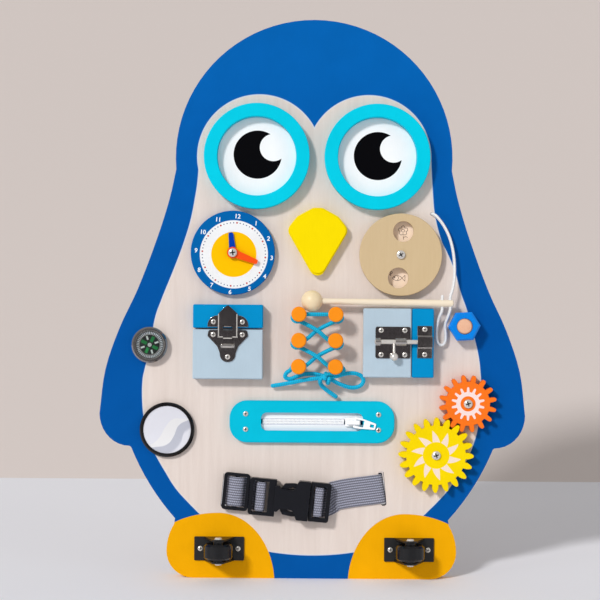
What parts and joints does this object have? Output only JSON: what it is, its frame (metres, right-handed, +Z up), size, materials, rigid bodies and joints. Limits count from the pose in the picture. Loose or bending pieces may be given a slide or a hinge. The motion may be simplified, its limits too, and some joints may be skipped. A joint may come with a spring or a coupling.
{
  "type": "wooden busy board",
  "caption": "Upright penguin-shaped wooden busy board with clock, gears, locks, lacing, zip, buckle and wheels, leaning on a folding rear leg.",
  "frame": {"origin": "middle of the board's front bottom edge, on the surface it stands on", "axes": "+X to the viewer's right across the board, +Y behind it towards the leg, +Z up"},
  "size_m": [0.366, 0.174, 0.4787],
  "materials": {
    "board": "painted and bare plywood, satin",
    "turquoise_wood": "painted wood, satin",
    "white_wood": "painted wood, satin",
    "yellow_wood": "painted wood, satin",
    "orange_wood": "painted wood, satin",
    "blue_wood": "painted wood, satin",
    "pale_blue_wood": "painted wood, satin",
    "tan_wood": "fibreboard, matt",
    "bare_wood": "bare wood, matt",
    "dark_nickel": "polished nickel",
    "bright_steel": "zinc plated",
    "blue_hand": "gloss",
    "red_hand": "gloss",
    "white_plastic": "gloss",
    "black_plastic": "fine satin",
    "black_rubber": "satin",
    "black_steel": "powder coat",
    "lace_fabric": "braided cord",
    "white_fabric": "braided cord and zip tape",
    "grey_webbing": "woven webbing",
    "clear_plastic": "clear",
    "mirror": "silvered acrylic",
    "gunmetal": "gunmetal"
  },
  "bodies": {
    "board": {"board_panel": "board", "eye_rings": "turquoise_wood", "eye_discs": "white_wood", "beak": "yellow_wood", "clock_dial": "white_wood", "pivot_screws": "bright_steel", "pivot_sleeves": "white_plastic", "latch_block": "blue_wood", "latch_catch": "dark_nickel", "latch_hinge_fixed": "bright_steel", "latch_hinge_pin": "bright_steel", "bolt_door": "pale_blue_wood", "bolt_block": "blue_wood", "bolt_back_plate": "dark_nickel", "bolt_keeper": "dark_nickel", "bolt_hinge": "bright_steel", "front_screws": "bright_steel", "back_screws": "bright_steel", "lacing_pegs": "orange_wood", "lace": "lace_fabric", "mallet_cord": "white_fabric", "wooden_bolt": "bare_wood", "zip_plate_piece": "turquoise_wood", "zip_tape": "white_fabric", "zip_teeth": "white_plastic", "compass_case": "gunmetal", "compass_lens": "clear_plastic", "mirror_rim_piece": "black_plastic", "mirror_glass": "mirror", "webbing_left": "grey_webbing", "webbing_right": "grey_webbing", "tri_glide": "black_plastic", "buckle_female": "black_plastic", "strap_clamps": "bright_steel", "caster_brackets": "black_steel", "caster_axles": "bright_steel", "leg_cheeks": "bare_wood", "leg_dowel": "bare_wood"},
    "hour_hand": {"hour_hand": "blue_hand"},
    "minute_hand": {"minute_hand": "red_hand"},
    "picture_wheel": {"picture_wheel": "tan_wood"},
    "latch_door": {"latch_door": "pale_blue_wood", "latch_base": "dark_nickel", "latch_pin": "bright_steel", "latch_door_screws": "bright_steel", "latch_hinge_leaf": "bright_steel"},
    "latch_hasp": {"latch_hasp": "dark_nickel"},
    "bolt_rod": {"bolt_rod": "bright_steel"},
    "mallet": {"mallet_stick": "bare_wood", "mallet_ball": "bare_wood"},
    "hex_nut": {"hex_nut": "blue_wood"},
    "zip_slider": {"zip_slider": "white_plastic"},
    "zip_pull": {"zip_pull": "white_plastic"},
    "compass_card": {"compass_card": "black_plastic"},
    "gear_large": {"gear_large": "yellow_wood"},
    "gear_small": {"gear_small": "orange_wood"},
    "buckle_male": {"buckle_male": "black_plastic"},
    "wheel_left": {"caster_wheel_left": "black_rubber"},
    "wheel_right": {"caster_wheel_right": "black_rubber"},
    "leg": {"stand_leg": "bare_wood"}
  },
  "joints": [
    {"name": "hour_hand_turn", "type": "hinge", "parent": "board", "child": "hour_hand", "pos_m": [-0.0692, 0.0174, 0.27915], "axis": [0, -0.9962, 0.0872], "continuous": true},
    {"name": "minute_hand_turn", "type": "hinge", "parent": "board", "child": "minute_hand", "pos_m": [-0.0692, 0.0174, 0.27915], "axis": [0, -0.9962, 0.0872], "continuous": true},
    {"name": "picture_wheel_turn", "type": "hinge", "parent": "board", "child": "picture_wheel", "pos_m": [0.0748, 0.02032, 0.27819], "axis": [0, -0.9962, 0.0872], "continuous": true},
    {"name": "latch_door_hinge", "type": "hinge", "parent": "board", "child": "latch_door", "pos_m": [-0.0727, 0.01292, 0.17293], "axis": [1, 0, 0], "range_deg": [0, 90]},
    {"name": "hasp_hinge", "type": "hinge", "parent": "latch_door", "child": "latch_hasp", "pos_m": [-0.0727, 0.0019, 0.2007], "axis": [1, 0, 0], "range_deg": [0, 110]},
    {"name": "bolt_slide", "type": "slide", "parent": "board", "child": "bolt_rod", "axis": [1, 0, 0], "range_m": [-0.0104, 0]},
    {"name": "mallet_lift", "type": "slide", "parent": "board", "child": "mallet", "axis": [0, -0.9962, 0.0872], "range_m": [0, 0.06], "deforming": ["mallet_cord"]},
    {"name": "nut_spin", "type": "hinge", "parent": "board", "child": "hex_nut", "pos_m": [0.1293, 0.01003, 0.21796], "axis": [0, -0.9962, 0.0872], "continuous": true},
    {"name": "zip_slide", "type": "slide", "parent": "board", "child": "zip_slider", "axis": [1, 0, 0], "range_m": [-0.07, 0], "deforming": ["zip_teeth"]},
    {"name": "pull_hinge", "type": "hinge", "parent": "zip_slider", "child": "zip_pull", "pos_m": [0.0367, 0.00579, 0.13501], "axis": [-0.2079, -0.0853, -0.9744], "range_deg": [0, 150]},
    {"name": "compass_turn", "type": "hinge", "parent": "board", "child": "compass_card", "pos_m": [-0.14, 0.01345, 0.19969], "axis": [0, -0.9962, 0.0872], "continuous": true},
    {"name": "large_gear_turn", "type": "hinge", "parent": "board", "child": "gear_large", "pos_m": [0.1061, 0.00339, 0.10761], "axis": [0, -0.9962, 0.0872], "continuous": true},
    {"name": "small_gear_turn", "type": "hinge", "parent": "board", "child": "gear_small", "pos_m": [0.13303, 0.00725, 0.15174], "axis": [0, -0.9962, 0.0872], "continuous": true},
    {"name": "buckle_slide", "type": "slide", "parent": "board", "child": "buckle_male", "axis": [0.9959, -0.0079, -0.0903], "range_m": [0, 0.024], "deforming": ["webbing_right"]},
    {"name": "left_wheel_turn", "type": "hinge", "parent": "board", "child": "wheel_left", "pos_m": [-0.0792, -0.01821, 0.02709], "axis": [0, 0.0872, 0.9962], "continuous": true},
    {"name": "right_wheel_turn", "type": "hinge", "parent": "board", "child": "wheel_right", "pos_m": [0.084, -0.01821, 0.02709], "axis": [0, 0.0872, 0.9962], "continuous": true},
    {"name": "leg_hinge", "type": "hinge", "parent": "board", "child": "leg", "pos_m": [0, 0.05018, 0.28672], "axis": [1, 0, 0], "range_deg": [-22, 0]}
  ],
  "couplings": [
    {"joint": "small_gear_turn", "follows": "large_gear_turn", "ratio": -1.25}
  ]
}
